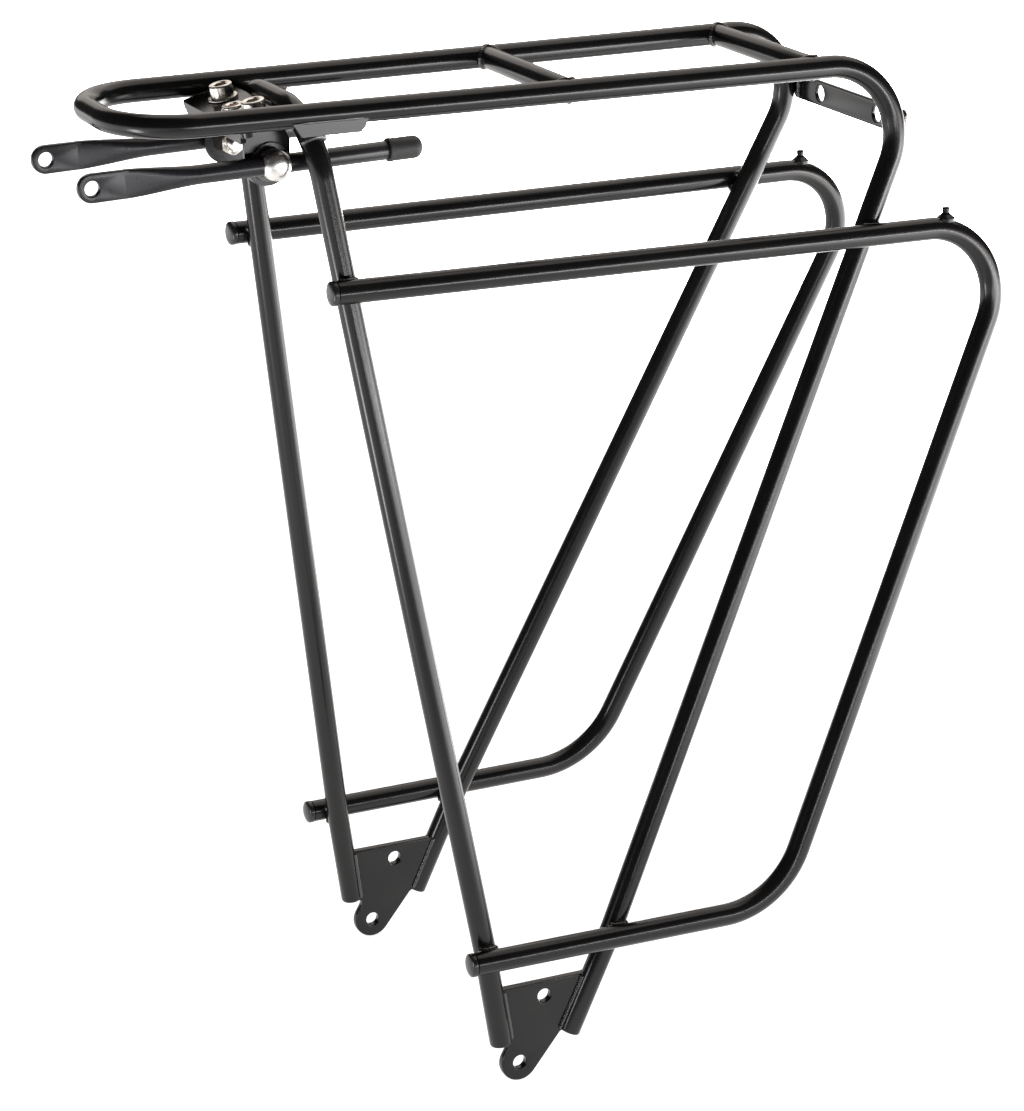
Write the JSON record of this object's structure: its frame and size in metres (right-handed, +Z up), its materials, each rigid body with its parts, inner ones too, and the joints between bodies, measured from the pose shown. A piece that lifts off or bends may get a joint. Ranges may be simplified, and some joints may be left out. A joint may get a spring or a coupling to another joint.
{
  "type": "rear rack",
  "caption": "Tubular steel rear rack for a bicycle: looped platform, front hoop, outboard pannier rails, foot plates, lamp plate and adjustable front stays.",
  "frame": {"origin": "midway between the two lower foot holes, on their common axis", "axes": "+X towards the rear of the bicycle, +Y to the bicycle's right-hand side, +Z up"},
  "size_m": [0.4146, 0.2008, 0.4376],
  "materials": {
    "black_powder_coat": "satin black powder coat",
    "black_stay": "smooth satin black coat",
    "stainless_steel": "bright stainless steel",
    "black_rubber": "matt black rubber",
    "black_plastic": "moulded black plastic"
  },
  "bodies": {
    "frame": {"main_tube": "black_powder_coat", "front_hoop": "black_powder_coat", "middle_crossbar": "black_powder_coat", "rear_crossbar": "black_powder_coat", "left_pannier_rail": "black_powder_coat", "right_pannier_rail": "black_powder_coat", "rail_end_plugs": "black_plastic", "left_pannier_peg": "black_powder_coat", "right_pannier_peg": "black_powder_coat", "left_foot_plate": "black_powder_coat", "right_foot_plate": "black_powder_coat", "left_rail_gusset": "black_powder_coat", "right_rail_gusset": "black_powder_coat", "light_plate": "black_powder_coat", "mount_plate": "black_powder_coat", "bracket_screws": "stainless_steel", "bracket_washers": "stainless_steel", "centre_screw": "stainless_steel", "centre_washer": "stainless_steel"},
    "left_bracket": {"left_bracket": "black_powder_coat"},
    "left_pivot": {"left_eyebolt": "stainless_steel", "left_pivot_washer": "black_plastic", "left_pivot_nut": "stainless_steel"},
    "left_stay": {"left_stay": "black_stay", "left_stay_cap": "black_rubber"},
    "right_bracket": {"right_bracket": "black_powder_coat"},
    "right_pivot": {"right_eyebolt": "stainless_steel", "right_pivot_washer": "black_plastic", "right_pivot_nut": "stainless_steel"},
    "right_stay": {"right_stay": "black_stay", "right_stay_cap": "black_rubber"}
  },
  "joints": [
    {"name": "left_bracket_swivel", "type": "hinge", "parent": "frame", "child": "left_bracket", "pos_m": [-0.0875, -0.0186, 0.4209], "axis": [-0.2079, 0, 0.9781], "range_deg": [-2.5, 2.5]},
    {"name": "left_stay_tilt", "type": "hinge", "parent": "left_bracket", "child": "left_pivot", "pos_m": [-0.084, -0.024, 0.4022], "axis": [0, 1, 0], "range_deg": [-8, 6]},
    {"name": "left_stay_slide", "type": "slide", "parent": "left_pivot", "child": "left_stay", "axis": [0.9997, 0, 0.0244], "range_m": [-0.03, 0.026]},
    {"name": "right_bracket_swivel", "type": "hinge", "parent": "frame", "child": "right_bracket", "pos_m": [-0.0875, 0.0186, 0.4209], "axis": [-0.2079, 0, 0.9781], "range_deg": [-2.5, 2.5]},
    {"name": "right_stay_tilt", "type": "hinge", "parent": "right_bracket", "child": "right_pivot", "pos_m": [-0.084, 0.024, 0.4022], "axis": [0, 1, 0], "range_deg": [-8, 6]},
    {"name": "right_stay_slide", "type": "slide", "parent": "right_pivot", "child": "right_stay", "axis": [0.9997, 0, 0.0244], "range_m": [-0.03, 0.026]}
  ]
}
